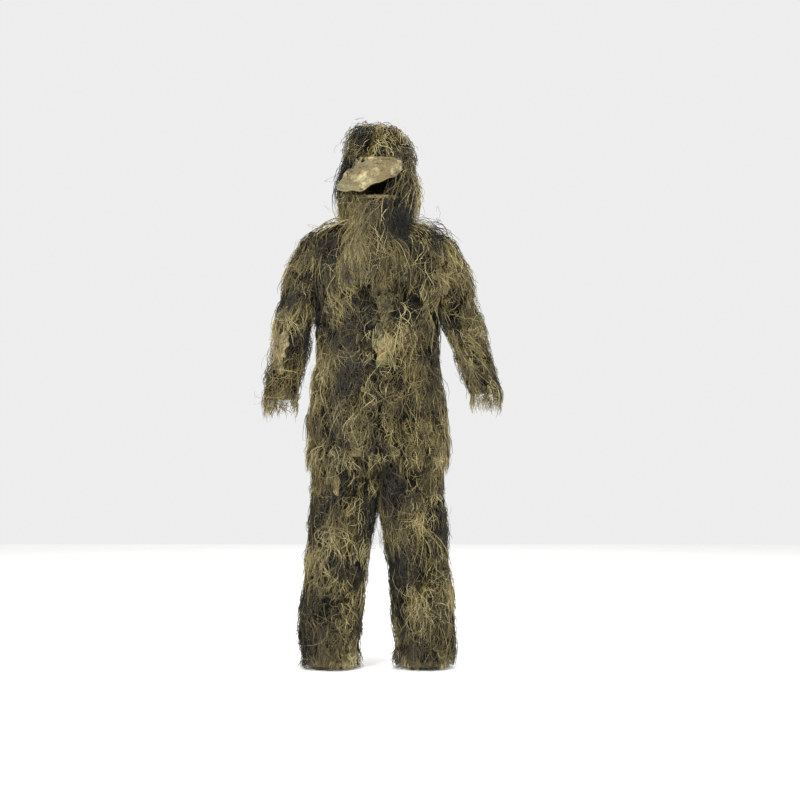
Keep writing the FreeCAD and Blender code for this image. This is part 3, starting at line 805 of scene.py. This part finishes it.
def make_elastics():
    """Waist, cuff and ankle bands, inside the cloth."""
    waist, _ = layer("waist_elastic_band", seat, (seat.length - 0.03, seat.length - 0.003), (0, TAU),
                     gathered(-6 * MM), ELASTIC, closed=True, wall=2 * MM, step=0.004)
    finish_piece(waist, "elastic", rides("jacket"), "waist_elastic")
    for side, word in SIDES.items():
        for name, tube, body in (("cuff", sleeves[side], "lower_sleeve"), ("ankle", legs[side], "shin")):
            band, _ = layer(f"{name}_band_{word}", tube, (0.003, 0.018), (0, TAU), gathered(-7 * MM), ELASTIC,
                            closed=True, wall=2 * MM, step=0.003)
            finish_piece(band, "elastic", rides(f"{body}_{word}"), f"{name}_elastic_{word}")


# ---------------------------------------------------------------- hood and veil

def off_face(points):
    """Keeps the visor and the eye slit clear of roots: nothing on the front of the hood below the brow."""
    return ~((points[:, 1] < -0.02) & (np.abs(points[:, 0]) < 0.082) & (points[:, 2] < 1.676))


def make_hood():
    """Crown above the eye slit, sides and back below it, and the locks that hang beside the face."""
    brow, top = hood.at_level(1.652), hood.length - 0.002
    dressed("hood_crown", hood, (brow, top), (0, TAU), 900, rides("hood"), ["hood_crown"], ["hood_yarn"],
            per_m2=30000, closed=True, pile=0.022, length=(0.035, 0.075), mat_height=8 * MM,
            sway=0.7, curl=1.2, keep=off_face)
    dressed("hood_sides", hood, (0.0, brow + 0.004), (-0.64, math.pi + 0.64), 940, rides("hood"),
            ["hood_crown"], ["hood_yarn"], per_m2=14000, pile=0.022, length=(0.07, 0.13),
            mat_height=8 * MM)
    for side, word in SIDES.items():
        cheek = -0.42 if side > 0 else math.pi + 0.42
        lock = strands(f"face_lock_{word}_strands", hood, (hood.at_level(1.53), hood.at_level(1.69)),
                       (cheek - 0.42, cheek + 0.36), 26000, (0.09, 0.19), 0.030, 970 + side, sway=0.2,
                       curl=0.8)
        finish_piece(lock, "yarn", NECK)
    elastic, _ = layer("hood_elastic_band", hood, (hood.at_level(1.592), hood.at_level(1.62)),
                       (0.17, math.pi - 0.17), gathered(-6 * MM), ELASTIC, wall=1.5 * MM, step=0.004)
    finish_piece(elastic, "elastic", rides("hood"), "hood_elastic")


def make_veil():
    """Net across the lower face with a folded cloth hem, and its long yarn, which lies on the chest."""
    across = (FRONT - 0.86, FRONT + 0.84)
    low, neck, high = veil.at_level(1.27), veil.at_level(1.47), veil.length
    face = (0.004, hood.at_level(1.548))
    net, _ = layer("face_net_mesh", hood, face, across, rolling(1 * MM, 0), NET, wall=1.2 * MM, step=0.005)
    finish_piece(net, "net", rides("hood"), "face_net")
    tube_grid(hood, face, across)
    # The mat is darker than its strands: painted shade under them.
    under = mat("veil_mat", veil, (low, high), across,
                rolling(-8 * MM, 61, (3 * MM, 0.04), (1.5 * MM, 0.016)), 63, 1.6, step=0.005)
    finish_piece(under, "yarn", NECK, "veil_yarn", "veil_tail_yarn")
    for number, span, long, per_m2 in ((1, (neck, high - 0.004), (0.10, 0.21), 36000),
                                       (2, (low + 0.02, neck), (0.07, 0.15), 26000)):
        loose = strands(f"veil_strands_{number}", veil, span, across, per_m2, long, 0.012, 639 + number, 0.2,
                        0.75, fuzz=0.03)
        finish_piece(loose, "yarn", NECK)

    edge, hem_width = (FRONT - 0.75, FRONT + 0.70), 0.012

    def rolled(points, s, u):
        """A roll half a sine squared across the hem, with a slow swell along it."""
        roll = np.sin((s - high) / hem_width * math.pi) ** 2
        return 4 * MM + 2.5 * MM * roll + 1.2 * MM * waves(points, 0.02, 66)
    hem, _ = layer("veil_hem", veil, (high - hem_width, high), edge, rolled, CAMO, wall=4 * MM, step=0.003)
    finish_piece(hem, "camo_cloth", NECK)
    tube_grid(veil, (high - hem_width, high), edge)


# ---------------------------------------------------------------- visor

def visor_surface(a, r, lift):
    """Point of the visor: a runs from the right tip to the left one, r from the seam to the rim.

    Seam and rim are two arcs, and the cloth bulges between them as half a sine of r; rows of stitching press
    four grooves into it, creases are the valleys of smooth noise, and it droops further on the right."""
    bow = np.cos(a * math.pi / 2)
    wave = 0.004 * np.sin(a * 9) + 0.003 * np.sin(a * 17 + 1)
    droop = 0.036 * bow * (1 - 0.9 * a)
    seam = np.stack([-0.004 + 0.082 * a, -0.094 - 0.026 * bow, 1.650 + 0.014 * a + 0.020 * bow], -1)
    rim = np.stack([-0.025 + 0.106 * np.sin(a * math.pi / 2), -0.080 - 0.080 * bow,
                    1.613 + 0.027 * a - droop + wave * bow], -1)
    r = r[..., None]
    outward = np.array([0, -0.72, 0.69])
    flat = seam * (1 - r) + rim * r
    groove = sum(np.exp(-((r - row) / 0.014) ** 2) for row in (0.22, 0.44, 0.66, 0.88))
    swell = 0.013 * np.sin(math.pi * r) * bow[..., None] - 0.0009 * groove
    valley = np.minimum(np.abs(waves(flat * (0.7, 1, 1.6), 0.060, 81)), 1)
    pucker = np.minimum(np.abs(waves(flat * (0.8, 1, 1.3), 0.026, 82)), 1)
    held = np.sin(math.pi * np.clip(r * 1.02, 0, 1)) ** 0.5
    crease = (0.014 * valley + 0.007 * pucker - 0.006)[..., None] * held
    return flat + outward * (swell + crease + lift)


def plate(name, span_a, span_r, wall, material, rows=60, cols=110):
    """Closed plate on the visor's surface, thinner towards its edges, where its two faces are joined."""
    a, r = np.meshgrid(np.linspace(*span_a, cols), np.linspace(*span_r, rows), indexing="xy")
    edge = np.minimum(1, np.minimum((r - span_r[0]), (span_r[1] - r)) / 0.03 + 0.35)
    faces = [visor_surface(a, r, half * wall / 2 * edge[..., None]) for half in (1, -1)]
    count = rows * cols
    here = np.arange(count).reshape(rows, cols)
    front = np.stack([here[:-1, :-1], here[:-1, 1:], here[1:, 1:], here[1:, :-1]], -1)
    front = front.reshape(-1, 4)[:, ::-1]
    rim = np.concatenate([here[0, :-1], here[:-1, -1], here[-1, :0:-1], here[:0:-1, 0]])
    sides = np.stack([rim, np.roll(rim, -1), np.roll(rim, -1) + count, rim + count], -1)
    quads = np.concatenate([front, front[:, ::-1] + count, sides])
    return quad_mesh(name, np.concatenate([f.reshape(-1, 3) for f in faces]), quads, material)


def piping(name, path, radius, material, sides=10):
    """Round cord along a path: a circle carried along it, closed at both ends by fans."""
    ahead = np.gradient(path, axis=0)
    ahead /= np.linalg.norm(ahead, axis=1, keepdims=True)
    across = np.cross(ahead, (0.0, -0.5, 1.0))
    across /= np.linalg.norm(across, axis=1, keepdims=True)
    up = np.cross(across, ahead)
    turn = (np.arange(sides) * TAU / sides)[None, :, None]
    rings = path[:, None] + radius * (np.cos(turn) * across[:, None] + np.sin(turn) * up[:, None])
    here = np.arange(len(path) * sides).reshape(-1, sides)
    there = np.roll(here, -1, 1)
    first, last = np.full(sides, here.size), np.full(sides, here.size + 1)
    body = np.stack([here[:-1], there[:-1], there[1:], here[1:]], -1).reshape(-1, 4)
    start = np.stack([there[0], here[0], first, first], -1)
    end = np.stack([here[-1], there[-1], last, last], -1)
    points = np.concatenate([rings.reshape(-1, 3), path[:1], path[-1:]])
    return quad_mesh(name, points, np.concatenate([body, start, end]), material)


def make_visor():
    """Cloth cover over a board, piping round the rim, and the brow band that the visor is sewn to."""
    cover = plate("visor_cloth", (-1, 1), (0, 1), 6 * MM, VISOR_CLOTH)
    finish_piece(cover, "camo_cloth", rides("hood"), "visor_cover")
    a, r = np.meshgrid(np.linspace(-1, 1, 110), np.linspace(0, 1, 60))
    visor_surface(a, r, 0.0)
    board = plate("visor_board_sheet", (-0.9, 0.9), (0.06, 0.92), 1.6 * MM, BOARD, 30, 60)
    finish_piece(board, "visor_board", rides("hood"), "visor_board")
    a = np.linspace(-1, 1, 90)
    rim = visor_surface(a, np.ones_like(a), 0.0)
    finish_piece(piping("visor_rim_piping", rim, 3.4 * MM, VISOR_CLOTH), "camo_cloth", rides("hood"))
    span, across = (hood.at_level(1.640), hood.at_level(1.674)), (FRONT - 0.9, FRONT + 0.9)
    band, _ = layer("hood_brow_band", hood, span, across, folded(10 * MM, 83, 4 * MM, 0.03), VISOR_CLOTH,
                    wall=3 * MM, step=0.003)
    finish_piece(band, "camo_cloth", rides("hood"))
    tube_grid(hood, span, across)


def make_studs():
    """The CAD press studs stay, in blackened brass."""
    materials = bpy.data.objects["veil_studs"].data.materials
    materials.clear()
    materials.append(STUD)


# The veil and the face locks hang from the hood and lie on the jacket; their move only bakes their transform
NECK = blends()

set_stage()
make_jacket()
make_sleeves()
make_trousers()
make_hood()
make_veil()
make_capes()
make_visor()
make_placket()
make_elastics()
make_studs()
